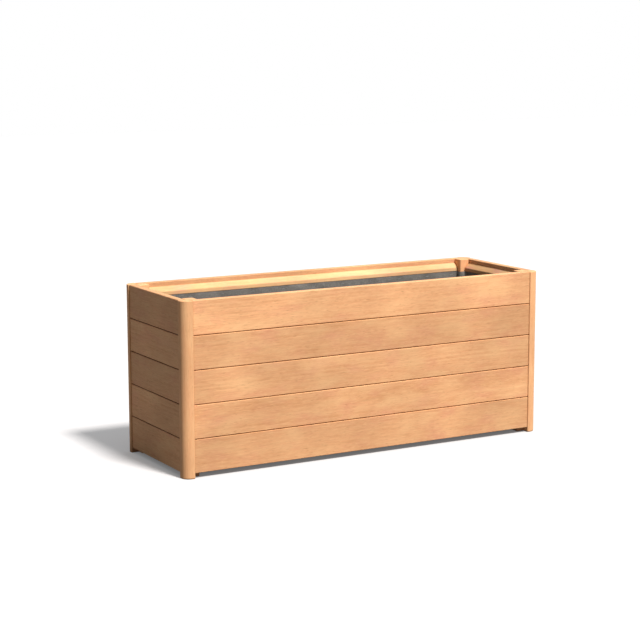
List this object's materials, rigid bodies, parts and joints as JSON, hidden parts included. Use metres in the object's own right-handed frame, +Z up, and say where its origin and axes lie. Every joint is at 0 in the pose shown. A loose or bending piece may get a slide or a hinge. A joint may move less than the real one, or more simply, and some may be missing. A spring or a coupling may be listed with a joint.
{
  "type": "planter box",
  "caption": "Long rectangular wooden planter box with boarded walls, rounded corner posts, a strip inside the rim and a cloth liner, open at the top for soil and plants.",
  "frame": {"origin": "centre of the footprint, on the floor that the posts stand on", "axes": "+X along the long walls, +Y towards the back long wall, +Z up"},
  "size_m": [1.2, 0.4, 0.5],
  "materials": {
    "board_timber": "planed light hardwood, lightly oiled, satin",
    "post_timber": "planed light hardwood, lightly oiled, satin",
    "strip_timber": "planed light hardwood, pale, satin",
    "base_timber": "planed hardwood, unfinished, matt",
    "liner_cloth": "needle-punched geotextile cloth, dark grey, matt"
  },
  "bodies": {
    "root": {"post_front_left": "post_timber", "post_front_right": "post_timber", "post_back_right": "post_timber", "post_back_left": "post_timber", "front_board_1": "board_timber", "front_board_2": "board_timber", "front_board_3": "board_timber", "front_board_4": "board_timber", "front_board_5": "board_timber", "right_board_1": "board_timber", "right_board_2": "board_timber", "right_board_3": "board_timber", "right_board_4": "board_timber", "right_board_5": "board_timber", "back_board_1": "board_timber", "back_board_2": "board_timber", "back_board_3": "board_timber", "back_board_4": "board_timber", "back_board_5": "board_timber", "left_board_1": "board_timber", "left_board_2": "board_timber", "left_board_3": "board_timber", "left_board_4": "board_timber", "left_board_5": "board_timber", "front_rim_strip": "strip_timber", "right_rim_strip": "strip_timber", "back_rim_strip": "strip_timber", "left_rim_strip": "strip_timber", "front_bearer": "base_timber", "right_bearer": "base_timber", "back_bearer": "base_timber", "left_bearer": "base_timber", "base_slat_01": "base_timber", "base_slat_02": "base_timber", "base_slat_03": "base_timber", "base_slat_04": "base_timber", "base_slat_05": "base_timber", "base_slat_06": "base_timber", "base_slat_07": "base_timber", "base_slat_08": "base_timber", "base_slat_09": "base_timber", "base_slat_10": "base_timber", "base_slat_11": "base_timber", "front_batten": "base_timber", "back_batten": "base_timber", "liner": "liner_cloth"}
  },
  "joints": []
}
